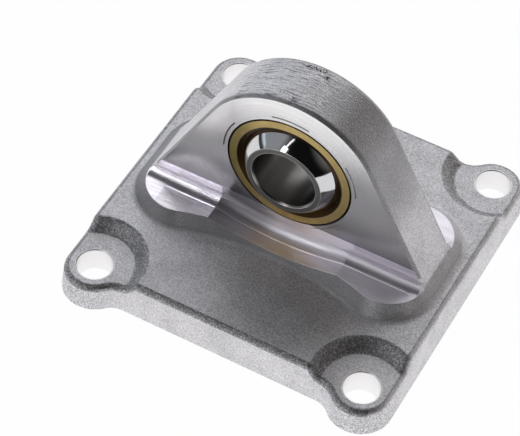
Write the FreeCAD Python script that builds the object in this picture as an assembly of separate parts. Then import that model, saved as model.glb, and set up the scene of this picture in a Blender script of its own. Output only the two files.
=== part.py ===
import FreeCAD, Part
import math
import os
from FreeCAD import Vector

# Rear swivel mount of a cylinder: a cast flange with an ear that holds a self-aligning bearing.
# The underside that seats on the cylinder's cap is z = 0, the cylinder's axis is Z, and the
# pin axis runs along Y through the ear. Lengths are in millimetres and angles in degrees.

# Flange plate
boltPitch = 89.0
boltHoleDiameter = 11.0
boltHoleBreak = 0.25
lobeRadius = 10.0
sideRecess = 5.2
lobeBlendRadius = 6.5
castDraft = 6.0
plateauHeight = 12.4
plateEdgeRadius = 2.0
spigotDiameter = 55.0
spigotDepth = 5.0
spigotBreak = 0.5

# Screw seats, the four corner pads that lie lower than the plateau
seatHeight = 9.0
seatRadius = 11.6
seatWallSlope = 42.0
seatFootRadius = 1.8
seatRimRadius = 2.4

# Ear
pinHeight = 41.0
earThickness = 18.0
earWall = 9.0
earCastRadius = 2.0
earStock = 0.4

# Foot of the ear, a cast swelling that the cutter passes trim
ledgeHeight = 16.5
footInset = 8.3
footHalfWidth = 20.3
footWaist = 14.8
footCornerRadius = 12.0
footSlope = 40.0
footOverFlank = 0.2
footBlendRadius = 3.0
footSpare = 1.5

# Cutter passes along the foot
passCornerRadius = 4.0
passStep = 0.2
passLip = 1.6
reliefHeight = 13.7
reliefRadius = 85.0

# Bearing: the ball is as wide as the fork's opening, the race as wide as the ear
pinDiameter = 20.0
pinBoreBreak = 0.5
ballWidth = 25.0
ballEndWall = 2.194
ballClearance = 0.03
raceWall = 2.507
raceRim = 2.85
raceEdgeBreak = 0.35
boreEdgeBreak = 0.25

# Staking: punched arcs in both ear faces, which pinch the race in its bore
stakeCount = 5
stakeSpan = 32.0
stakeStart = 20.0
stakeOffset = 1.6
stakeWidth = 0.5
stakeDepth = 0.3

halfPitch = boltPitch / 2
plateHalf = halfPitch + lobeRadius
castSlope = math.tan(math.radians(castDraft))
earHalf = earThickness / 2
ballHalf = ballWidth / 2
ballEndRadius = pinDiameter / 2 + ballEndWall
ballRadius = math.sqrt(ballHalf ** 2 + ballEndRadius ** 2)
trackRadius = ballRadius + ballClearance
raceRadius = trackRadius + raceWall
earRadius = raceRadius + earWall
footTop = plateHalf - footInset
pinLift = pinHeight - ledgeHeight
earFlank = math.acos(earRadius / math.hypot(footTop, pinLift)) - math.atan2(pinLift, footTop)
buriedHeight = plateauHeight - plateEdgeRadius
reach = 2 * plateHalf
centre = Vector(0, 0, 0)
axisX = Vector(1, 0, 0)
axisY = Vector(0, 1, 0)
axisZ = Vector(0, 0, 1)


def arcThrough(start, middle, end):
    return Part.Arc(start, middle, end).toShape()


def levelArc(hub, radius, fromAngle, toAngle):
    """An arc in a level plane about a hub, with its two ends."""
    points = []
    for angle in (fromAngle, (fromAngle + toAngle) / 2, toAngle):
        turn = math.radians(angle)
        points.append(hub + Vector(radius * math.cos(turn), radius * math.sin(turn), 0))
    return points[0], points[2], arcThrough(*points)


def outlineOf(arcs):
    """A closed outline: the arcs in turn, with a straight edge wherever two do not meet."""
    edges = []
    for (_, end, edge), (start, _, _) in zip(arcs, arcs[1:] + arcs[:1]):
        edges.append(edge)
        if end.distanceToPoint(start) > 1e-6:
            edges.append(Part.makeLine(end, start))
    return Part.Wire(edges)


def revolved(edges, hub, axis, turn=360):
    return Part.Face(Part.Wire(edges)).revolve(hub, axis, turn)


def polygonEdges(points):
    return [Part.makeLine(a, b) for a, b in zip(points, points[1:])]


def levelEdges(solid, z):
    def isLevel(edge):
        return max(abs(edge.BoundBox.ZMin - z), abs(edge.BoundBox.ZMax - z)) < 1e-6
    return [edge for edge in solid.Edges if isLevel(edge)]


def plateOutline(z):
    """The plate's outline at a height: round lobes, straight sides, recessed front and back."""
    inset = z * castSlope
    lobe = lobeRadius - inset
    blend = lobeBlendRadius + inset
    blendY = plateHalf - sideRecess - inset + blend
    spread = math.sqrt((lobe + blend) ** 2 - (blendY - halfPitch) ** 2)
    turn = math.degrees(math.atan2(blendY - halfPitch, spread))
    blendX = halfPitch - spread
    return outlineOf([
        levelArc(Vector(halfPitch, halfPitch, z), lobe, 0, 180 - turn),
        levelArc(Vector(blendX, blendY, z), blend, -turn, -90),
        levelArc(Vector(-blendX, blendY, z), blend, -90, turn - 180),
        levelArc(Vector(-halfPitch, halfPitch, z), lobe, turn, 180),
        levelArc(Vector(-halfPitch, -halfPitch, z), lobe, 180, 360 - turn),
        levelArc(Vector(-blendX, -blendY, z), blend, 180 - turn, 90),
        levelArc(Vector(blendX, -blendY, z), blend, 90, turn),
        levelArc(Vector(halfPitch, -halfPitch, z), lobe, turn - 180, 0),
    ])


def seatCutter():
    """What is cut away round a screw seat: a hollow foot, a sloping wall and a round rim."""
    lean = math.radians(90 - seatWallSlope)

    def footPoint(turn):
        return Vector(seatRadius + seatFootRadius * math.sin(turn), 0,
                      seatHeight + seatFootRadius * (1 - math.cos(turn)))
    wallFoot = footPoint(lean)
    wallTopZ = plateauHeight - seatRimRadius * (1 - math.cos(lean))
    wallTopX = wallFoot.x + (wallTopZ - wallFoot.z) / math.tan(lean)
    rimX = wallTopX + seatRimRadius * math.sin(lean)

    def rimPoint(turn):
        return Vector(rimX - seatRimRadius * math.sin(turn), 0,
                      plateauHeight - seatRimRadius * (1 - math.cos(turn)))
    floor, seatEdge = Vector(0, 0, seatHeight), Vector(seatRadius, 0, seatHeight)
    rimEdge = Vector(rimX, 0, plateauHeight)
    edges = [
        Part.makeLine(floor, seatEdge),
        arcThrough(seatEdge, footPoint(lean / 2), wallFoot),
        Part.makeLine(wallFoot, rimPoint(lean)),
        arcThrough(rimPoint(lean), rimPoint(lean / 2), rimEdge),
    ]
    edges += polygonEdges([
        rimEdge, Vector(rimX, 0, 2 * plateauHeight), Vector(0, 0, 2 * plateauHeight), floor,
    ])
    return revolved(edges, centre, axisZ)


def atCorners(solid):
    """Copies of a solid on the four screw axes."""
    copies = []
    for x in (-halfPitch, halfPitch):
        for y in (-halfPitch, halfPitch):
            copy = solid.copy()
            copy.translate(Vector(x, y, 0))
            copies.append(copy)
    return copies


def makePlate():
    """The drafted plate with its sunken seats, its whole upper outline rounded in one run."""
    plate = Part.makeLoft([plateOutline(0), plateOutline(plateauHeight)], True, True)
    for cutter in atCorners(seatCutter()):
        plate = plate.cut(cutter)
    sides = [face for face in plate.Faces if face.BoundBox.ZMin < 1e-6 < face.BoundBox.ZLength]
    outline = [edge for face in sides for edge in face.Edges if edge.BoundBox.ZMin > 1e-6]
    return plate.makeFillet(plateEdgeRadius, outline)


def makeEar():
    """The ear: a cast slab with a round head and round edges, then milled to its thickness.

    Its straight flanks touch the head's circle and reach the foot where its ledges begin.
    """
    footX = footTop + (ledgeHeight - buriedHeight) * math.tan(earFlank)
    headX = earRadius * math.cos(earFlank)
    headZ = pinHeight + earRadius * math.sin(earFlank)
    castY = -earHalf - earStock
    rightHead, leftHead = Vector(headX, castY, headZ), Vector(-headX, castY, headZ)
    rightFoot, leftFoot = Vector(footX, castY, buriedHeight), Vector(-footX, castY, buriedHeight)
    edges = polygonEdges([leftHead, leftFoot, rightFoot, rightHead])
    edges.append(arcThrough(rightHead, Vector(0, castY, pinHeight + earRadius), leftHead))
    slab = Part.Face(Part.Wire(edges)).extrude(Vector(0, -2 * castY, 0))
    rims = [e for e in slab.Edges if e.BoundBox.YLength < 1e-6 and e.BoundBox.ZLength > 1e-6]
    milled = Part.makeBox(2 * reach, earThickness, 2 * reach, Vector(-reach, -earHalf, 0))
    return slab.makeFillet(earCastRadius, rims).common(milled)


def footSize(z):
    """Half length and half width of the cast foot at a height, and how far it has spread."""
    spread = (ledgeHeight - z) * math.tan(math.radians(footSlope))
    return footTop + footOverFlank + spread, footHalfWidth + spread, spread


def footOutline(z):
    """The cast foot's outline at a height: square ends, round corners and a waisted middle."""
    halfLength, halfWidth, spread = footSize(z)
    corner = footCornerRadius + spread
    cornerX = halfLength - corner
    cornerY = halfWidth - corner
    waist = footWaist + spread
    lift = waist - cornerY
    hollow = (cornerX ** 2 + lift ** 2 - corner ** 2) / (2 * (corner - lift))
    turn = math.degrees(math.atan2(lift + hollow, cornerX))
    return outlineOf([
        levelArc(Vector(cornerX, cornerY, z), corner, 0, 180 - turn),
        levelArc(Vector(0, waist + hollow, z), hollow, -turn, turn - 180),
        levelArc(Vector(-cornerX, cornerY, z), corner, turn, 180),
        levelArc(Vector(-cornerX, -cornerY, z), corner, 180, 360 - turn),
        levelArc(Vector(0, -waist - hollow, z), hollow, 180 - turn, turn),
        levelArc(Vector(cornerX, -cornerY, z), corner, turn - 180, 0),
    ])


def makeFoot():
    return Part.makeLoft([footOutline(buriedHeight), footOutline(ledgeHeight + footSpare)], True, True)


def blendFoot(body):
    """Rounds the hollow edge between the foot and the plateau, as far as the plateau's rim allows."""
    halfLength, halfWidth, _ = footSize(plateauHeight)
    rimX = plateHalf - plateauHeight * castSlope - plateEdgeRadius
    room = (rimX - halfLength) / math.tan(math.radians(90 - footSlope) / 2)
    radius = min(footBlendRadius, 0.95 * room)

    def onFoot(edge):
        box = edge.BoundBox
        inLength = max(-box.XMin, box.XMax) < halfLength + 1e-6
        return inLength and max(-box.YMin, box.YMax) < halfWidth + 1e-6
    return body.makeFillet(radius, [e for e in levelEdges(body, plateauHeight) if onFoot(e)])


def passEdges(floor, depth):
    """The section that a cutter pass removes in front of the ear, in the plane x = 0.

    The pass cuts a little into the ear's face up to a lip, turns through a hollow corner, and
    drops by one step where its floor begins.
    """
    face = -earHalf + depth
    cornerY = face - passCornerRadius
    cornerZ = floor + passStep + passCornerRadius
    lip = cornerZ + passLip
    outside = -earHalf - passStep
    diagonal = passCornerRadius / math.sqrt(2)
    cornerTop = Vector(0, face, cornerZ)
    cornerEnd = Vector(0, cornerY, floor + passStep)
    edges = [arcThrough(cornerTop, Vector(0, cornerY + diagonal, cornerZ - diagonal), cornerEnd)]
    edges += polygonEdges([
        cornerEnd, Vector(0, cornerY - passStep, floor), Vector(0, -reach, floor),
        Vector(0, -reach, pinHeight), Vector(0, outside, pinHeight),
        Vector(0, outside, lip + passStep), Vector(0, face, lip), cornerTop,
    ])
    return edges


def footPasses():
    """Both passes in front of the ear: a straight ledge, and a hollow relief at the middle."""
    ledge = Part.Face(Part.Wire(passEdges(ledgeHeight, passStep))).extrude(Vector(2 * reach, 0, 0))
    ledge.translate(Vector(-reach, 0, 0))
    hub = Vector(0, 0, reliefHeight + reliefRadius)
    swing = 2 * math.degrees(math.acos((hub.z - ledgeHeight) / reliefRadius))
    relief = revolved(passEdges(reliefHeight, 2 * passStep), hub, axisY, swing)
    relief.rotate(hub, axisY, -swing / 2)
    return [ledge, relief]


def turnedBack(solid):
    """The same solid turned half round, for the back of the ear."""
    copy = solid.copy()
    copy.rotate(centre, axisZ, 180)
    return copy


def holeCutter(radius, length, edgeBreak, isThrough=True):
    """A round hole's cutter up Z from its mouth at z = 0, with each mouth broken at 45 degrees."""
    wide = radius + 2 * edgeBreak
    profile = [(0, -edgeBreak), (wide, -edgeBreak), (radius, edgeBreak)]
    if isThrough:
        profile += [(radius, length - edgeBreak), (wide, length + edgeBreak), (0, length + edgeBreak)]
    else:
        profile += [(radius, length), (0, length)]
    points = [Vector(x, 0, z) for x, z in profile]
    return revolved(polygonEdges(points + points[:1]), centre, axisZ)


def stakeMarks():
    """The punched arcs in the ear's front face, spaced evenly round the pin axis."""
    radius = raceRadius + stakeOffset
    section = [
        Vector(radius - stakeWidth, -earHalf - stakeDepth, 0),
        Vector(radius + stakeWidth, -earHalf - stakeDepth, 0), Vector(radius, stakeDepth - earHalf, 0),
    ]
    marks = []
    for index in range(stakeCount):
        mark = revolved(polygonEdges(section + section[:1]), centre, axisY, stakeSpan)
        mark.rotate(centre, axisY, -stakeStart - stakeSpan / 2 - index * 360 / stakeCount)
        mark.translate(Vector(0, 0, pinHeight))
        marks.append(mark)
    return marks


def makeCasting():
    """The flange casting: plate, seats, ear and foot as cast, then the cutter passes and holes."""
    body = blendFoot(makePlate().fuse(makeFoot()).fuse(makeEar()))
    for cutter in footPasses() + stakeMarks():
        body = body.cut(cutter).cut(turnedBack(cutter))
    for cutter in atCorners(holeCutter(boltHoleDiameter / 2, seatHeight, boltHoleBreak)):
        body = body.cut(cutter)
    spigot = holeCutter(spigotDiameter / 2, spigotDepth, spigotBreak, isThrough=False)
    bore = holeCutter(raceRadius, earThickness, boreEdgeBreak)
    bore.rotate(centre, axisX, -90)
    bore.translate(Vector(0, -earHalf, pinHeight))
    return body.cut(spigot).cut(bore).removeSplitter()


def onPinAxis(edges):
    """A solid turned about the pin axis, from a profile in the plane z = 0 about Y."""
    solid = revolved(edges, centre, axisY)
    solid.translate(Vector(0, 0, pinHeight))
    return solid


def makeRace():
    """The race: a ring with a hollow spherical track that opens to a cone at each side."""
    mouth = raceRadius - raceRim
    across = mouth + earHalf
    beyond = mouth ** 2 + earHalf ** 2 - trackRadius ** 2
    coneDepth = (across - math.sqrt(across ** 2 - 2 * beyond)) / 2
    trackX, trackY = mouth - coneDepth, earHalf - coneDepth
    edges = polygonEdges([
        Vector(trackX, trackY, 0), Vector(mouth, earHalf, 0),
        Vector(raceRadius - raceEdgeBreak, earHalf, 0), Vector(raceRadius, earHalf - raceEdgeBreak, 0),
        Vector(raceRadius, raceEdgeBreak - earHalf, 0), Vector(raceRadius - raceEdgeBreak, -earHalf, 0),
        Vector(mouth, -earHalf, 0), Vector(trackX, -trackY, 0),
    ])
    track = Vector(trackRadius, 0, 0)
    edges.append(arcThrough(Vector(trackX, -trackY, 0), track, Vector(trackX, trackY, 0)))
    return onPinAxis(edges)


def makeBall():
    """The ball: a sphere cut flat at both ends, with the pin's bore through it."""
    pin = pinDiameter / 2
    edges = polygonEdges([
        Vector(ballEndRadius, -ballHalf, 0), Vector(pin + pinBoreBreak, -ballHalf, 0),
        Vector(pin, pinBoreBreak - ballHalf, 0), Vector(pin, ballHalf - pinBoreBreak, 0),
        Vector(pin + pinBoreBreak, ballHalf, 0), Vector(ballEndRadius, ballHalf, 0),
    ])
    front, back = Vector(ballEndRadius, -ballHalf, 0), Vector(ballEndRadius, ballHalf, 0)
    edges.append(arcThrough(back, Vector(ballRadius, 0, 0), front))
    return onPinAxis(edges)


def singleSolid(shape):
    """The one solid that a run of cuts and joins leaves, freed from its wrapping."""
    return shape.Solids[0] if len(shape.Solids) == 1 else shape


def writeParts():
    os.makedirs("parts", exist_ok=True)
    makers = {"flange_casting": makeCasting, "bearing_race": makeRace, "bearing_ball": makeBall}
    for name, make in makers.items():
        shape = singleSolid(make())
        shape.exportStep("parts/" + name + ".step")
        print(name, len(shape.Solids), shape.isValid(), round(shape.Volume, 1))


if __name__ == "__main__":
    writeParts()
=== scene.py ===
import bpy
import bmesh
import math
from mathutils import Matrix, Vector


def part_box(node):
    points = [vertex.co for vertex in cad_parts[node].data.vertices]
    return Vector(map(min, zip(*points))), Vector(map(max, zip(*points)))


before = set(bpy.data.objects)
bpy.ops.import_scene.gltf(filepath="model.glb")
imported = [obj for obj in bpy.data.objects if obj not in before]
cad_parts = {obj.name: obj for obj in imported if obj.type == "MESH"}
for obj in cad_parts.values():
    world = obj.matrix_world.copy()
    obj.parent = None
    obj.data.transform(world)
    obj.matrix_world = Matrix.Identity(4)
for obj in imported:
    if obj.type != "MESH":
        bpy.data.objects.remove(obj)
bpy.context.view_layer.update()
print("frame loaded:", sorted(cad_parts))

mm = 0.001
pinHeight = (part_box("bearing_race")[0].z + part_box("bearing_race")[1].z) / 2 / mm
raceRadius = (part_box("bearing_race")[1].z / mm) - pinHeight
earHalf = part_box("bearing_race")[1].y / mm  # the race is as wide as the ear


# Node helpers

def addNode(tree, kind, **settings):
    node = tree.nodes.new(kind)
    for key, value in settings.items():
        setattr(node, key, value)
    return node


def feed(tree, socket, value):
    # a socket takes either another node's output or a plain value
    if isinstance(value, bpy.types.NodeSocket):
        tree.links.new(value, socket)
    else:
        socket.default_value = value


def calc(tree, operation, *values, clamp=False):
    node = addNode(tree, "ShaderNodeMath", operation=operation, use_clamp=clamp)
    for socket, value in zip(node.inputs, values):
        feed(tree, socket, value)
    return node.outputs[0]


def times(tree, first, *others):
    for value in others:
        first = calc(tree, "MULTIPLY", first, value)
    return first


def most(tree, first, *others):
    for value in others:
        first = calc(tree, "MAXIMUM", first, value)
    return first


def over(tree, value, limit):
    return calc(tree, "GREATER_THAN", value, limit)


def under(tree, value, limit):
    return calc(tree, "LESS_THAN", value, limit)


def unsigned(tree, value):
    return calc(tree, "ABSOLUTE", value)


def reach(tree, a, b):
    # how far the point (a, b) is from (0, 0)
    return calc(tree, "SQRT", calc(tree, "ADD", times(tree, a, a), times(tree, b, b)))


def remap(tree, value, low, high, toLow=0.0, toHigh=1.0):
    # smooth step from toLow at low to toHigh at high, where low may be the larger one
    node = addNode(tree, "ShaderNodeMapRange", interpolation_type="SMOOTHSTEP")
    for socket, number in zip(node.inputs, (value, low, high, toLow, toHigh)):
        feed(tree, socket, number)
    return node.outputs[0]


def mixColor(tree, factor, a, b):
    node = addNode(tree, "ShaderNodeMix", data_type="RGBA")
    feed(tree, node.inputs[0], factor)
    feed(tree, node.inputs[6], a)
    feed(tree, node.inputs[7], b)
    return node.outputs[2]


def mixValue(tree, factor, a, b):
    node = addNode(tree, "ShaderNodeMix", data_type="FLOAT")
    feed(tree, node.inputs[0], factor)
    feed(tree, node.inputs[2], a)
    feed(tree, node.inputs[3], b)
    return node.outputs[0]


def mixNormal(tree, factor, a, b):
    node = addNode(tree, "ShaderNodeMix", data_type="VECTOR")
    feed(tree, node.inputs[0], factor)
    feed(tree, node.inputs[4], a)
    feed(tree, node.inputs[5], b)
    return node.outputs[1]


def joined(tree, x, y, z):
    node = addNode(tree, "ShaderNodeCombineXYZ")
    for socket, value in zip(node.inputs, (x, y, z)):
        feed(tree, socket, value)
    return node.outputs[0]


def split(tree, vector):
    node = addNode(tree, "ShaderNodeSeparateXYZ")
    feed(tree, node.inputs[0], vector)
    return node.outputs


def noise(tree, vector, scale, detail, roughness=0.5):
    node = addNode(tree, "ShaderNodeTexNoise")
    feed(tree, node.inputs["Vector"], vector)
    feed(tree, node.inputs["Scale"], scale)
    node.inputs["Detail"].default_value = detail
    node.inputs["Roughness"].default_value = roughness
    return node.outputs["Fac"]


def bump(tree, height, depth):
    node = addNode(tree, "ShaderNodeBump")
    feed(tree, node.inputs["Height"], height)
    node.inputs["Distance"].default_value = depth
    return node.outputs[0]


def newMetal(name):
    material = bpy.data.materials.new(name)
    material.use_nodes = True
    tree = material.node_tree
    shader = tree.nodes["Principled BSDF"]
    shader.inputs["Metallic"].default_value = 1.0
    return material, tree, shader


def placeInMm(tree):
    # the point on the piece, in millimetres
    coordinates = addNode(tree, "ShaderNodeTexCoord")
    scaled = addNode(tree, "ShaderNodeVectorMath", operation="SCALE")
    feed(tree, scaled.inputs[0], coordinates.outputs["Object"])
    scaled.inputs["Scale"].default_value = 1 / mm
    return scaled.outputs[0]


def surfaceFacing(tree):
    # the direction that the surface faces at that point
    return addNode(tree, "ShaderNodeTexCoord").outputs["Normal"]


def aroundPin(tree, place):
    # distance from the pin's axis, and the angle round it, which is 0 straight up
    x, _, z = split(tree, place)
    up = calc(tree, "SUBTRACT", z, pinHeight)
    return reach(tree, x, up), calc(tree, "ARCTAN2", x, up)


# Effects that more than one material uses

markSettings = {
    "fineDetail": 3.0,
    "fineRoughness": 0.6,
    "slowScale": 0.15,  # of the slow noise, across the lines
    "slowShift": 7.0,  # keeps it apart from the fine noise
    "slowFade": (0.25, 0.6),
    "weakest": 0.45,  # share of the height that is left where the slow noise is low
}

smudgeSettings = {
    "detail": 4.0,
    "roughness": 0.55,
    "fade": (0.3, 0.7),
}


def newGroup(name, inputs, outputs):
    group = bpy.data.node_groups.new(name, "ShaderNodeTree")
    for label, kind, value in inputs:
        socket = group.interface.new_socket(label, in_out="INPUT", socket_type=kind)
        if value is not None:
            socket.default_value = value
    for label, kind in outputs:
        group.interface.new_socket(label, in_out="OUTPUT", socket_type=kind)
    given = addNode(group, "NodeGroupInput").outputs
    result = addNode(group, "NodeGroupOutput").inputs
    return group, given, result


def useGroup(tree, group, **values):
    node = addNode(tree, "ShaderNodeGroup", node_tree=group)
    for label, value in values.items():
        feed(tree, node.inputs[label], value)
    return node.outputs


def makeToolMarks(s):
    # fine lines that run along Along and repeat across Across, broken up by a slow noise
    group, given, result = newGroup(
        "toolMarks",
        [("Across", "NodeSocketFloat", 0.0), ("Along", "NodeSocketFloat", 0.0),
         ("Pitch", "NodeSocketFloat", 0.25), ("Length", "NodeSocketFloat", 12.0)],
        [("Height", "NodeSocketFloat"), ("Tone", "NodeSocketFloat")])
    across = calc(group, "DIVIDE", given["Across"], given["Pitch"])
    along = calc(group, "DIVIDE", given["Along"], given["Length"])
    lineSpace = joined(group, across, along, 0.0)
    fine = noise(group, lineSpace, 1.0, detail=s["fineDetail"], roughness=s["fineRoughness"])
    slowSpace = joined(group, times(group, across, s["slowScale"]), along, s["slowShift"])
    slow = noise(group, slowSpace, 1.0, detail=1.0)
    height = times(group, fine, remap(group, slow, *s["slowFade"], toLow=s["weakest"]))
    feed(group, result["Height"], height)
    feed(group, result["Tone"], fine)
    return group


def makeSmudge(s):
    # slow cloudy change, for handling marks and uneven finish
    group, given, result = newGroup(
        "smudge",
        [("Place", "NodeSocketVector", None), ("Size", "NodeSocketFloat", 8.0)],
        [("Amount", "NodeSocketFloat")])
    scale = calc(group, "DIVIDE", 1.0, given["Size"])
    clouds = noise(group, given["Place"], scale, detail=s["detail"], roughness=s["roughness"])
    feed(group, result["Amount"], remap(group, clouds, *s["fade"]))
    return group


toolMarks = makeToolMarks(markSettings)
smudge = makeSmudge(smudgeSettings)
print("effects ready")


# Casting: satin cast skin with machined faces
# Lengths and heights are in mm, and a tilt is one part of the surface's direction, from -1 to 1.
# A pair is a fade from its first value to its second.

castSettings = {
    # where the casting's forms lie
    "plateauHeight": 12.4,
    "ledgeHeight": 16.5,
    "reliefHeight": 13.7,
    "reliefRadius": 85.0,
    "reliefHalf": 21.6,
    "passTop": 22.35,
    "headRadius": 29.0,
    "screwHalfPitch": 44.5,
    "screwRadius": 5.9,
    "recessRadius": 28.2,
    "recessDepth": 5.2,
    # limits of the machined faces
    "passSlack": 0.06,
    "besideFace": 0.02,
    "faceDepth": 0.5,
    "faceTilt": 0.88,
    "boreSlack": 0.4,
    "earSlack": 0.5,
    "undersideHeight": 0.05,
    "undersideTilt": -0.9,
    "plateSlack": 0.1,
    # cast skin
    "skinColor": (0.91, 0.895, 0.925, 1.0),
    "skinDark": (0.485, 0.473, 0.50, 1.0),
    "skinRoughness": 0.45,
    "grainSize": 0.42,
    "grainDepth": 0.15,
    "grainFade": (0.36, 0.64),
    "grainShare": 0.75,  # the rest of the tone is smudges
    "smudgeSize": 9.0,
    "coarseScale": 0.45,
    "coarseDepth": 0.5,
    "sparkScale": 1.9,
    "sparkFade": (0.69, 0.75),
    "sparkColor": (0.97, 0.96, 0.98, 1.0),
    # file strokes on the head, by the angle round the pin in radians
    "strokesStart": (-0.95, -0.65),
    "strokesEnd": (0.45, 0.10),
    "strokeInside": (1.6, 0.5),  # inside the head's radius
    "strokeRise": 12.0,  # above the pin
    "strokePitch": 0.55,
    "strokeLength": 5.5,
    "strokeDepth": 2.2,
    "strokeTone": (0.38, 0.50),
    "strokeDark": (0.42, 0.34),
    "strokeDarkness": 0.7,
    "wander": 1.6,
    "wanderScale": 0.16,
    # dark chips on the head: middle x and y, half length along x and y
    "chips": [
        (-1.1, -7.0, 2.2, 1.1),
        (-1.5, 6.8, 5.0, 0.9),
        (3.2, 5.2, 1.6, 0.8),
        (-6.0, -5.5, 1.6, 0.5),
    ],
    "chipEdge": (1.0, 0.55),
    "chipScale": 1.9,
    "chipFade": (0.50, 0.57),
    "chipColor": (0.02, 0.018, 0.02, 1.0),
    # painted shade on the rounded edges of the head and the plate, standing for their dark reflection
    "edgeColor": (0.15, 0.145, 0.155, 1.0),
    "edgeShadeAmount": 0.62,
    "headAboveLedge": 3.0,
    "headEdgeTilt": (0.10, 0.40),
    "edgeBelowPlateau": 0.02,
    "plateEdgeTop": (0.999, 0.97),
    "plateEdgeSide": (0.14, 0.24),
    "unshadedTilt": (0.20, 0.45),
    "unshadedFrom": 50.0,
    # painted shade on the right side of the head
    "sideShadeAmount": 0.55,
    "sideTilt": (0.15, 0.60),
    "sideHeight": (30.0, 48.0),
    # painted shade on the slope of the foot
    "slopeShadeAmount": 0.70,
    "slopeTop": (0.999, 0.78),
    "slopeSteep": (0.50, 0.60),
    "slopeAbovePlateau": (0.02, 0.25),
    "slopeAboveLedge": 0.3,
    "slopeTurn": (0.35, 0.10),
    "slopeEnd": (37.0, 31.0),
    "endShadeAmount": 0.38,
    "endTilt": (0.60, 0.74),
    # dark and bright points on the sides of the lobes and on the plate's edge
    "lobeFrom": (36.0, 42.0),
    "lobeTilt": (0.5, 0.3),
    "pointSize": 0.5,
    "pointAmount": 0.42,
    "edgePoints": 0.42,
    "darkPoints": (0.50, 0.40),
    "brightPoints": (0.54, 0.62),
    # ear faces, turned round the pin
    "faceColor": (0.96, 0.945, 0.955, 1.0),
    # painted shade that the face turns to towards the foot
    "faceShade": (0.26, 0.255, 0.265, 1.0),
    "shadeHeight": (38.0, 21.0),
    "faceRoughness": 0.17,
    "faceMarkDepth": 0.022,
    "facePitch": 0.16,
    "faceLength": 30.0,
    "faceMarkRadius": 25.0,
    "turnedTilt": 0.93,
    "turnedDepth": 0.1,
    "turnedSlack": 0.03,
    # cutter passes beside the ear, along x
    "passColor": (0.93, 0.89, 0.97, 1.0),
    "passRoughness": 0.36,
    "passMarkDepth": 0.06,
    "passPitch": 0.32,
    "passLength": 40.0,
    "streakColor": (0.30, 0.28, 0.31, 1.0),
    "streakFade": (0.15, 0.55),
    "streakLow": 0.80,
    "smudgeRoughness": 0.05,
    # painted shade on the middle run's upright walls and on the left run's floor
    "runShadeColor": (0.30, 0.29, 0.32, 1.0),
    "runShadeAmount": 0.62,
    "runFade": (-1.0, -9.0),
    "uprightTilt": (0.05, 0.30),
    "leftPolish": 0.15,
    "leftShade": 0.32,
    "tipFade": (-39.2, -38.4),
    # brown band on the floor of the relief
    "brownBandColor": (0.72, 0.56, 0.36, 1.0),
    "brownBandMiddle": 1.5,
    "brownBandFade": (16.0, 4.8),
    "brownBandHeight": (0.7, 0.2),
    "brownBandLeast": 0.5,
    "brownBandAmount": 0.75,
    # painted shade in the gap round the race
    "grooveShadeColor": (0.035, 0.032, 0.03, 1.0),
    "grooveShadeWidth": 0.33,
}


def reliefFloor(tree, x, s):
    # height of the curved cut in the middle of the foot, at x
    room = calc(tree, "SUBTRACT", s["reliefRadius"] ** 2, times(tree, x, x))
    dip = calc(tree, "SQRT", most(tree, room, 0.0))
    return calc(tree, "SUBTRACT", s["reliefHeight"] + s["reliefRadius"], dip)


def machinedMask(tree, place, facing, s):
    # ear faces, cutter passes beside them, ear bore, screw holes, underside and recess
    x, y, z = split(tree, place)
    _, ny, nz = split(tree, facing)
    side = unsigned(tree, y)
    cutFloor = calc(tree, "MINIMUM", reliefFloor(tree, x, s), s["ledgeHeight"])
    aboveFloor = over(tree, z, calc(tree, "SUBTRACT", cutFloor, s["passSlack"]))
    beside = over(tree, side, earHalf + s["besideFace"])
    onFace = times(tree, over(tree, side, earHalf - s["faceDepth"]),
                   over(tree, unsigned(tree, ny), s["faceTilt"]))
    passes = times(tree, aboveFloor, most(tree, beside, onFace))
    offX = calc(tree, "SUBTRACT", unsigned(tree, x), s["screwHalfPitch"])
    offY = calc(tree, "SUBTRACT", side, s["screwHalfPitch"])
    holes = under(tree, reach(tree, offX, offY), s["screwRadius"])
    pinOff, _ = aroundPin(tree, place)
    bore = times(tree, under(tree, pinOff, raceRadius + s["boreSlack"]),
                 under(tree, side, earHalf + s["earSlack"]))
    underside = times(tree, under(tree, z, s["undersideHeight"]), under(tree, nz, s["undersideTilt"]))
    recess = times(tree, under(tree, reach(tree, x, y), s["recessRadius"]),
                   under(tree, z, s["recessDepth"]))
    return most(tree, passes, holes, bore, underside, recess)


def chipPatches(tree, place, s):
    # soft ovals at the places of the chips
    x, y, _ = split(tree, place)
    patches = 0.0
    for middleX, middleY, halfX, halfY in s["chips"]:
        offX = calc(tree, "DIVIDE", calc(tree, "SUBTRACT", x, middleX), halfX)
        offY = calc(tree, "DIVIDE", calc(tree, "SUBTRACT", y, middleY), halfY)
        patches = most(tree, patches, remap(tree, reach(tree, offX, offY), *s["chipEdge"]))
    return patches


def headMarks(tree, place, machined, s):
    # slightly wavy file strokes on the left and the top of the cast head, and a few dark chips
    _, y, z = split(tree, place)
    distance, angle = aroundPin(tree, place)
    inside, full = s["strokeInside"]
    nearSkin = remap(tree, distance, s["headRadius"] - inside, s["headRadius"] - full)
    high = remap(tree, z, pinHeight, pinHeight + s["strokeRise"])
    spread = times(tree, remap(tree, angle, *s["strokesStart"]), remap(tree, angle, *s["strokesEnd"]))
    onHead = times(tree, nearSkin, high, calc(tree, "SUBTRACT", 1.0, machined), spread)
    swing = times(tree, noise(tree, place, s["wanderScale"], detail=1.5), s["wander"])
    strokes = useGroup(tree, toolMarks, Across=calc(tree, "ADD", y, swing),
                       Along=times(tree, angle, s["headRadius"]),
                       Pitch=s["strokePitch"], Length=s["strokeLength"])
    ragged = remap(tree, noise(tree, place, s["chipScale"], detail=2.5), *s["chipFade"])
    onTop = over(tree, z, pinHeight + s["headRadius"] / 2)
    chips = times(tree, chipPatches(tree, place, s), ragged, onTop)
    return strokes, onHead, chips


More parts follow.
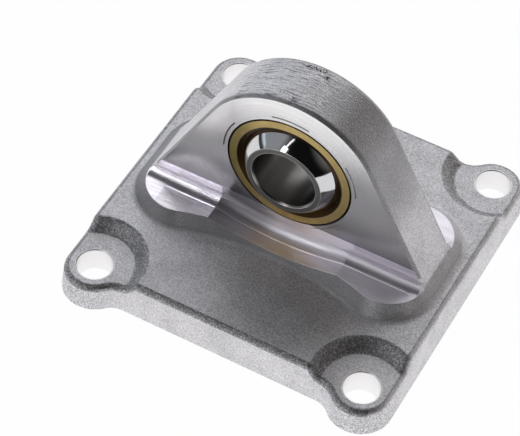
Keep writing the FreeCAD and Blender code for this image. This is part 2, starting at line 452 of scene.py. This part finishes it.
def castSkin(tree, place, machined, cloud, s):
    # close grain in two sizes with bright points, and the marks on the head
    grain = noise(tree, place, 1 / s["grainSize"], detail=3.0, roughness=0.65)
    coarse = noise(tree, place, s["coarseScale"] / s["grainSize"], detail=1.0)
    strokes, onHead, chips = headMarks(tree, place, machined, s)
    height = calc(tree, "ADD", grain, times(tree, coarse, s["coarseDepth"]))
    strokeHeight = times(tree, strokes["Height"], times(tree, onHead, s["strokeDepth"]))
    height = calc(tree, "SUBTRACT", calc(tree, "ADD", height, strokeHeight), chips)
    grainTone = times(tree, remap(tree, grain, *s["grainFade"]), s["grainShare"])
    tone = calc(tree, "ADD", grainTone, times(tree, cloud, 1 - s["grainShare"]))
    strokeTone = remap(tree, strokes["Tone"], *s["strokeTone"])
    tone = times(tree, tone, mixValue(tree, onHead, 1.0, strokeTone))
    color = mixColor(tree, tone, s["skinDark"], s["skinColor"])
    sparks = noise(tree, place, s["sparkScale"] / s["grainSize"], detail=1.0)
    color = mixColor(tree, remap(tree, sparks, *s["sparkFade"]), color, s["sparkColor"])
    darkStrokes = times(tree, onHead, remap(tree, strokes["Tone"], *s["strokeDark"]))
    color = mixColor(tree, times(tree, darkStrokes, s["strokeDarkness"]), color, s["chipColor"])
    color = mixColor(tree, chips, color, s["chipColor"])
    return color, bump(tree, height, s["grainDepth"] * mm)


# painted shade on the rounded edges, on the head's right side and on the foot's slope, then dark and bright
# points
def skinWithPaintedShade(tree, place, facing, color, s):
    x, y, z = split(tree, place)
    nx, ny, nz = split(tree, facing)
    # painted shade on the rounded edges of the head and the plate, but not on the plate's right edge, which
    # stays bright
    headEdge = times(tree, remap(tree, unsigned(tree, ny), *s["headEdgeTilt"]),
                     over(tree, z, s["ledgeHeight"] + s["headAboveLedge"]))
    plateEdge = times(tree, remap(tree, nz, *s["plateEdgeTop"]), remap(tree, nz, *s["plateEdgeSide"]),
                      under(tree, z, s["plateauHeight"] - s["edgeBelowPlateau"]))
    unshadedEdge = times(tree, remap(tree, nx, *s["unshadedTilt"]), over(tree, x, s["unshadedFrom"]))
    plateEdge = times(tree, plateEdge, calc(tree, "SUBTRACT", 1.0, unshadedEdge))
    paintedShade = times(tree, most(tree, headEdge, plateEdge), s["edgeShadeAmount"])
    # painted shade on the head's right side
    rightSide = times(tree, remap(tree, nx, *s["sideTilt"]), remap(tree, z, *s["sideHeight"]))
    paintedShade = most(tree, paintedShade, times(tree, rightSide, s["sideShadeAmount"]))
    # painted shade on the slope of the foot, but not on its two right corners
    start, full = (s["plateauHeight"] + rise for rise in s["slopeAbovePlateau"])
    onSlope = times(tree, remap(tree, nz, *s["slopeTop"]), remap(tree, nz, *s["slopeSteep"]),
                    remap(tree, z, start, full), under(tree, z, s["ledgeHeight"] + s["slopeAboveLedge"]))
    alongFoot = times(tree, remap(tree, nx, *s["slopeTurn"]), remap(tree, x, *s["slopeEnd"]),
                      s["slopeShadeAmount"])
    atRightEnd = times(tree, remap(tree, nx, *s["endTilt"]), s["endShadeAmount"])
    paintedShade = most(tree, paintedShade, times(tree, onSlope, most(tree, alongFoot, atRightEnd)))
    # painted shade from the edges, the right side and the slope, in edgeColor
    color = mixColor(tree, paintedShade, color, s["edgeColor"])
    # points on the lobes' upright sides and on the plate's edge
    outward = calc(tree, "MINIMUM", unsigned(tree, x), unsigned(tree, y))
    onLobe = times(tree, remap(tree, outward, *s["lobeFrom"]),
                   remap(tree, unsigned(tree, nz), *s["lobeTilt"]), s["pointAmount"])
    pointed = most(tree, onLobe, times(tree, plateEdge, s["edgePoints"]))
    points = noise(tree, place, 1 / s["pointSize"], detail=1.0)
    dark = times(tree, pointed, remap(tree, points, *s["darkPoints"]))
    bright = times(tree, pointed, remap(tree, points, *s["brightPoints"]))
    color = mixColor(tree, dark, color, s["edgeColor"])
    return mixColor(tree, bright, color, s["sparkColor"])


def passTone(tree, place, upright, leftRun, marks, cloud, s):
    # bright streaks, painted shade on the middle run's upright walls and on the left run's floor, and a
    # brown band in the relief
    x, _, z = split(tree, place)
    streak = remap(tree, marks["Height"], *s["streakFade"], toLow=s["streakLow"])
    color = mixColor(tree, streak, s["streakColor"], s["passColor"])
    middleRun = times(tree, over(tree, x, -s["reliefHalf"]), remap(tree, x, *s["runFade"]))
    # painted shade on the middle run's upright walls
    middleRunShade = times(tree, upright, middleRun, s["runShadeAmount"])
    color = mixColor(tree, middleRunShade, color, s["runShadeColor"])
    # painted shade on the left run's floor
    leftFloor = times(tree, calc(tree, "SUBTRACT", leftRun, upright, clamp=True),
                      remap(tree, x, *s["tipFade"]), s["leftShade"])
    color = mixColor(tree, leftFloor, color, s["runShadeColor"])
    brownBandOff = unsigned(tree, calc(tree, "SUBTRACT", x, s["brownBandMiddle"]))
    overFloor = calc(tree, "SUBTRACT", z, reliefFloor(tree, x, s))
    brownBand = times(tree, remap(tree, brownBandOff, *s["brownBandFade"]), remap(tree, overFloor, *s["brownBandHeight"]),
                    mixValue(tree, cloud, s["brownBandLeast"], 1.0), s["brownBandAmount"])
    return mixColor(tree, brownBand, color, s["brownBandColor"])


def milledFinish(tree, place, facing, cloud, s):
    # ear faces have fine lines round the pin, and the cutter passes have coarser ones along x
    x, y, z = split(tree, place)
    _, ny, _ = split(tree, facing)
    distance, angle = aroundPin(tree, place)
    side = unsigned(tree, y)
    tilt = unsigned(tree, ny)
    onFace = times(tree, over(tree, tilt, s["turnedTilt"]), over(tree, side, earHalf - s["turnedDepth"]),
                   under(tree, side, earHalf + s["turnedSlack"]), over(tree, z, s["passTop"]))
    faceMarks = useGroup(tree, toolMarks, Across=distance, Along=times(tree, angle, s["faceMarkRadius"]),
                         Pitch=s["facePitch"], Length=s["faceLength"])
    passMarks = useGroup(tree, toolMarks, Across=calc(tree, "ADD", z, y), Along=x,
                         Pitch=s["passPitch"], Length=s["passLength"])
    normal = mixNormal(tree, onFace, bump(tree, passMarks["Height"], s["passMarkDepth"] * mm),
                       bump(tree, faceMarks["Height"], s["faceMarkDepth"] * mm))
    # the left run is smoother than the others
    leftRun = times(tree, under(tree, x, -s["reliefHalf"]), over(tree, z, s["plateauHeight"]))
    polish = times(tree, calc(tree, "SUBTRACT", leftRun, onFace, clamp=True), s["leftPolish"])
    roughness = mixValue(tree, onFace, s["passRoughness"], s["faceRoughness"])
    roughness = calc(tree, "ADD", roughness, times(tree, cloud, s["smudgeRoughness"]))
    roughness = calc(tree, "SUBTRACT", roughness, polish)
    upright = remap(tree, tilt, *s["uprightTilt"])
    passed = passTone(tree, place, upright, leftRun, passMarks, cloud, s)
    # painted shade: the face darkens towards the foot of the ear
    face = mixColor(tree, remap(tree, z, *s["shadeHeight"]), s["faceColor"], s["faceShade"])
    return mixColor(tree, onFace, passed, face), roughness, normal


def makeCastMaterial(s):
    material, tree, shader = newMetal("castAluminium")
    place = placeInMm(tree)
    facing = surfaceFacing(tree)
    machined = machinedMask(tree, place, facing, s)
    cloud = useGroup(tree, smudge, Place=place, Size=s["smudgeSize"])["Amount"]
    skin, skinNormal = castSkin(tree, place, machined, cloud, s)
    # painted shade on the edges, on the head's right side and on the foot's slope
    skin = skinWithPaintedShade(tree, place, facing, skin, s)
    milled, milledRoughness, milledNormal = milledFinish(tree, place, facing, cloud, s)
    _, y, z = split(tree, place)
    inPlate = under(tree, z, s["plateauHeight"] + s["plateSlack"])  # screw holes, recess, underside
    milled = mixColor(tree, inPlate, milled, s["faceColor"])
    color = mixColor(tree, machined, skin, milled)
    distance, _ = aroundPin(tree, place)
    # painted shade in the gap round the race
    inGroove = times(tree, under(tree, distance, raceRadius + s["grooveShadeWidth"]),
                     under(tree, unsigned(tree, y), earHalf + s["earSlack"]))
    feed(tree, shader.inputs["Base Color"], mixColor(tree, inGroove, color, s["grooveShadeColor"]))
    roughness = mixValue(tree, machined, s["skinRoughness"], milledRoughness)
    feed(tree, shader.inputs["Roughness"], roughness)
    feed(tree, shader.inputs["Normal"], mixNormal(tree, machined, skinNormal, milledNormal))
    return material


# Race: turned brass

raceSettings = {
    "color": (0.70, 0.525, 0.225, 1.0),
    # painted shade towards the left, with darker cloudy patches
    "shadeAndSmudgeColor": (0.34, 0.265, 0.10, 1.0),
    "shadeTowardsLeft": (-9.0, -19.0),
    "shadeMost": 0.9,
    "smudgeDarkening": 0.4,
    "roughness": 0.28,
    "smudgeRoughness": 0.1,
    "smudgeSize": 5.0,
    # dark brown cone: painted shade, also standing for a grease film
    "coneColor": (0.055, 0.030, 0.011, 1.0),
    "coneRoughness": 0.45,
    "coneFade": (2.65, 2.87),  # inside the race's radius
    "markRadius": 19.0,
    "markPitch": 0.16,
    "markLength": 16.0,
    "markDepth": 0.010,
    # painted shade in the gap round the race
    "grooveShadeColor": (0.03, 0.022, 0.012, 1.0),
    "grooveShadeWidth": 0.33,
}


def makeRaceMaterial(s):
    # the flat rim is bare brass with painted shade towards the left and darker cloudy patches, and the cone
    # inside it is dark brown, painted shade that also stands for grease
    material, tree, shader = newMetal("turnedBrass")
    place = placeInMm(tree)
    x, _, _ = split(tree, place)
    distance, angle = aroundPin(tree, place)
    marks = useGroup(tree, toolMarks, Across=distance, Along=times(tree, angle, s["markRadius"]),
                     Pitch=s["markPitch"], Length=s["markLength"])
    cloud = useGroup(tree, smudge, Place=place, Size=s["smudgeSize"])["Amount"]
    # painted shade towards the left, with darker cloudy patches
    shadeTowardsLeft = remap(tree, x, *s["shadeTowardsLeft"], toHigh=s["shadeMost"])
    shadeAndSmudge = calc(tree, "ADD", times(tree, cloud, s["smudgeDarkening"]), shadeTowardsLeft, clamp=True)
    brass = mixColor(tree, shadeAndSmudge, s["color"], s["shadeAndSmudgeColor"])
    # painted shade on the cone, also standing for a grease film
    outer, inner = s["coneFade"]
    onCone = remap(tree, distance, raceRadius - outer, raceRadius - inner)
    color = mixColor(tree, onCone, brass, s["coneColor"])
    # painted shade in the gap at the race's outer edge
    inGroove = over(tree, distance, raceRadius - s["grooveShadeWidth"])
    feed(tree, shader.inputs["Base Color"], mixColor(tree, inGroove, color, s["grooveShadeColor"]))
    bare = mixValue(tree, cloud, s["roughness"], s["roughness"] + s["smudgeRoughness"])
    feed(tree, shader.inputs["Roughness"], mixValue(tree, onCone, bare, s["coneRoughness"]))
    feed(tree, shader.inputs["Normal"], bump(tree, marks["Height"], s["markDepth"] * mm))
    return material


# Ball: polished outside, ground end rings and satin bore

ballSettings = {
    "color": (0.64, 0.64, 0.655, 1.0),
    "endColor": (0.185, 0.182, 0.18, 1.0),
    "edgeColor": (0.62, 0.61, 0.60, 1.0),
    "boreColor": (0.20, 0.195, 0.19, 1.0),
    "polish": 0.06,
    "smudgeRoughness": 0.04,
    "smudgeSize": 4.0,
    "endRoughness": 0.38,
    "boreRoughness": 0.28,
    "boreRadius": 10.0,
    "boreBreak": 0.5,
    "boreSlack": 0.6,
    "halfWidth": 12.5,
    "endRadius": 12.19,
    "endSlack": 0.05,
    "edgeSlack": 0.25,
    "edgeWidth": 0.11,
    "borePitch": 0.3,
    "boreLength": 9.0,
    "endPitch": 0.12,
    "endLength": 20.0,
    "markDepth": 0.008,
}


def makeBallMaterial(s):
    material, tree, shader = newMetal("bearingSteel")
    place = placeInMm(tree)
    _, y, _ = split(tree, place)
    distance, angle = aroundPin(tree, place)
    inBore = under(tree, distance, s["boreRadius"] + s["boreSlack"])
    onEnd = over(tree, unsigned(tree, y), s["halfWidth"] - s["endSlack"])
    nearEnd = over(tree, unsigned(tree, y), s["halfWidth"] - s["edgeSlack"])
    cloud = useGroup(tree, smudge, Place=place, Size=s["smudgeSize"])["Amount"]
    arc = times(tree, angle, s["boreRadius"])
    boreMarks = useGroup(tree, toolMarks, Across=y, Along=arc,
                         Pitch=s["borePitch"], Length=s["boreLength"])
    endMarks = useGroup(tree, toolMarks, Across=distance, Along=arc,
                        Pitch=s["endPitch"], Length=s["endLength"])
    color = mixColor(tree, inBore, s["color"], s["boreColor"])
    color = mixColor(tree, onEnd, color, s["endColor"])
    # thin bright lines at both broken edges of the end ring
    inner = calc(tree, "COMPARE", distance, s["boreRadius"] + s["boreBreak"], s["edgeWidth"])
    outer = calc(tree, "COMPARE", distance, s["endRadius"], s["edgeWidth"])
    brightEdge = times(tree, most(tree, inner, outer), nearEnd)
    color = mixColor(tree, brightEdge, color, s["edgeColor"])
    polish = calc(tree, "ADD", s["polish"], times(tree, cloud, s["smudgeRoughness"]))
    roughness = mixValue(tree, inBore, polish, s["boreRoughness"])
    roughness = mixValue(tree, onEnd, roughness, s["endRoughness"])
    height = times(tree, boreMarks["Height"], inBore)
    height = mixValue(tree, onEnd, height, endMarks["Height"])
    feed(tree, shader.inputs["Base Color"], color)
    feed(tree, shader.inputs["Roughness"], roughness)
    feed(tree, shader.inputs["Normal"], bump(tree, height, s["markDepth"] * mm))
    return material


def dress(node, material):
    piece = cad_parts[node]
    piece.data.materials.clear()
    piece.data.materials.append(material)


dress("flange_casting", makeCastMaterial(castSettings))
dress("bearing_race", makeRaceMaterial(raceSettings))
dress("bearing_ball", makeBallMaterial(ballSettings))
print("materials on")


# Floor

floorSettings = {
    "size": 6.0,
    "color": (0.92, 0.92, 0.92, 1.0),
    "whitening": 0.985,  # the rest is left for the object's shadow
}


def makeFloor(s):
    mesh = bmesh.new()
    bmesh.ops.create_grid(mesh, x_segments=1, y_segments=1, size=s["size"] / 2)
    data = bpy.data.meshes.new("floor")
    mesh.to_mesh(data)
    mesh.free()
    floor = bpy.data.objects.new("floor", data)
    bpy.context.scene.collection.objects.link(floor)
    material = bpy.data.materials.new("paleFloor")
    material.use_nodes = True
    tree = material.node_tree
    tree.nodes.clear()
    diffuse = addNode(tree, "ShaderNodeBsdfDiffuse")
    diffuse.inputs["Color"].default_value = s["color"]
    glow = addNode(tree, "ShaderNodeEmission")
    path = addNode(tree, "ShaderNodeLightPath").outputs
    seen = most(tree, path["Is Camera Ray"], path["Is Glossy Ray"], path["Is Transmission Ray"])
    blend = addNode(tree, "ShaderNodeMixShader")
    feed(tree, blend.inputs[0], times(tree, seen, s["whitening"]))
    feed(tree, blend.inputs[1], diffuse.outputs[0])
    feed(tree, blend.inputs[2], glow.outputs[0])
    output = addNode(tree, "ShaderNodeOutputMaterial")
    feed(tree, output.inputs["Surface"], blend.outputs[0])
    data.materials.append(material)


makeFloor(floorSettings)


# Light: a room that is pale at the back left, grey at the left and dark at the front right,
# with a grey patch high at the right and a dark and a pale band low at the left

lightSettings = {
    "roomDark": 0.006,
    "roomGrey": 0.34,
    "roomPale": 0.80,
    "roomSide": 0.18,
    "roomBand": 0.05,
    "greyTowards": (-0.966, 0.26, 0.0),
    "greyFade": (0.06, 0.42),
    "greyTop": (0.98, 0.80),
    "sideTowards": (0.80, 0.30, 0.52),
    "sideFade": (0.60, 0.90),
    "paleTowards": (-0.40, 0.88, -0.26),
    "paleFade": (0.10, 0.55),
    "bandTowards": (-1.0, -0.15, 0.0),
    "bandFade": (0.93, 0.955),
    # bands, by the upward part of the direction: start, full, still full, end
    "darkBand": (-0.10, -0.05, 0.10, 0.13),
    "paleBand": (0.14, 0.17, 0.23, 0.27),
    "warmth": 0.07,
    "aim": (0.0, 0.0, 0.02),
    "lamps": [
        # name, direction from the object, distance, width, height, watts
        ("soft", (-0.15, 0.64, 0.755), 1.3, 0.9, 0.35, 1.0),
        ("stripLow", (-0.363, -0.712, 0.602), 0.9, 0.15, 0.29, 0.55),
        ("stripHigh", (-0.254, -0.498, 0.829), 0.9, 0.05, 0.33, 0.085),
        ("front", (-0.36, -0.92, 0.20), 0.9, 0.24, 0.24, 0.14),
    ],
}


def makeWorld(s):
    world = bpy.data.worlds.new("room")
    bpy.context.scene.world = world
    world.use_nodes = True
    tree = world.node_tree
    tree.nodes.clear()
    direction = addNode(tree, "ShaderNodeTexCoord").outputs["Generated"]
    sideways, _, upward = split(tree, direction)

    def patch(towards, fade):
        along = addNode(tree, "ShaderNodeVectorMath", operation="DOT_PRODUCT")
        feed(tree, along.inputs[0], direction)
        along.inputs[1].default_value = towards
        return remap(tree, along.outputs["Value"], *fade)

    def band(where, limits):
        start, full, stillFull, end = limits
        fades = times(tree, remap(tree, upward, start, full), remap(tree, upward, end, stillFull))
        return times(tree, where, fades)

    grey = times(tree, patch(s["greyTowards"], s["greyFade"]), remap(tree, upward, *s["greyTop"]))
    level = mixValue(tree, grey, s["roomDark"], s["roomGrey"])
    level = mixValue(tree, patch(s["sideTowards"], s["sideFade"]), level, s["roomSide"])
    level = mixValue(tree, patch(s["paleTowards"], s["paleFade"]), level, s["roomPale"])
    atLeft = patch(s["bandTowards"], s["bandFade"])
    level = mixValue(tree, band(atLeft, s["darkBand"]), level, s["roomBand"])
    level = mixValue(tree, band(atLeft, s["paleBand"]), level, s["roomPale"])
    red = calc(tree, "MULTIPLY_ADD", sideways, s["warmth"], 1.0)
    blue = calc(tree, "MULTIPLY_ADD", sideways, -s["warmth"], 1.0)
    background = addNode(tree, "ShaderNodeBackground")
    tint = joined(tree, times(tree, level, red), level, times(tree, level, blue))
    feed(tree, background.inputs["Color"], tint)
    output = addNode(tree, "ShaderNodeOutputWorld")
    feed(tree, output.inputs["Surface"], background.outputs[0])


def makeLamps(s):
    for name, towards, distance, width, height, watts in s["lamps"]:
        data = bpy.data.lights.new(name, "AREA")
        data.shape = "RECTANGLE"
        data.size = width
        data.size_y = height
        data.energy = watts
        lamp = bpy.data.objects.new(name, data)
        bpy.context.scene.collection.objects.link(lamp)
        direction = Vector(towards).normalized()
        lamp.location = Vector(s["aim"]) + direction * distance
        lamp.rotation_euler = direction.to_track_quat("Z", "Y").to_euler()


makeWorld(lightSettings)
makeLamps(lightSettings)
print("floor and light ready")


# Camera at the photograph's angle

cameraSettings = {
    "azimuth": 25.882,
    "elevation": 50.121,
    "roll": 3.559,
    "distance": 0.69922,
    "aim": (0.0, 0.0, 0.020),
    "aside": (-0.011826, -0.005439),  # towards the picture's right and top
    "focalPixels": 2343.04,
    "frameWidth": 520,
    "sensorWidth": 36,
}


def makeCamera(s):
    azimuth, elevation, roll = (math.radians(s[key]) for key in ("azimuth", "elevation", "roll"))
    back = Vector((math.sin(azimuth) * math.cos(elevation),
                   -math.cos(azimuth) * math.cos(elevation),
                   math.sin(elevation)))
    level = Vector((math.cos(azimuth), math.sin(azimuth), 0))
    upright = back.cross(level)
    right = math.cos(roll) * level + math.sin(roll) * upright
    up = math.cos(roll) * upright - math.sin(roll) * level
    data = bpy.data.cameras.new("camera")
    data.sensor_width = s["sensorWidth"]
    data.lens = s["focalPixels"] / s["frameWidth"] * s["sensorWidth"]
    camera = bpy.data.objects.new("camera", data)
    bpy.context.scene.collection.objects.link(camera)
    turn = camera.matrix_world.to_3x3()
    for column, axis in enumerate((right, up, back)):
        turn.col[column] = axis
    camera.matrix_world = turn.to_4x4()
    alongRight, alongUp = s["aside"]
    aim = Vector(s["aim"]) + right * alongRight + up * alongUp
    camera.location = aim + back * s["distance"]
    bpy.context.scene.camera = camera


makeCamera(cameraSettings)
bpy.context.scene.view_settings.view_transform = "Standard"
print("camera ready")
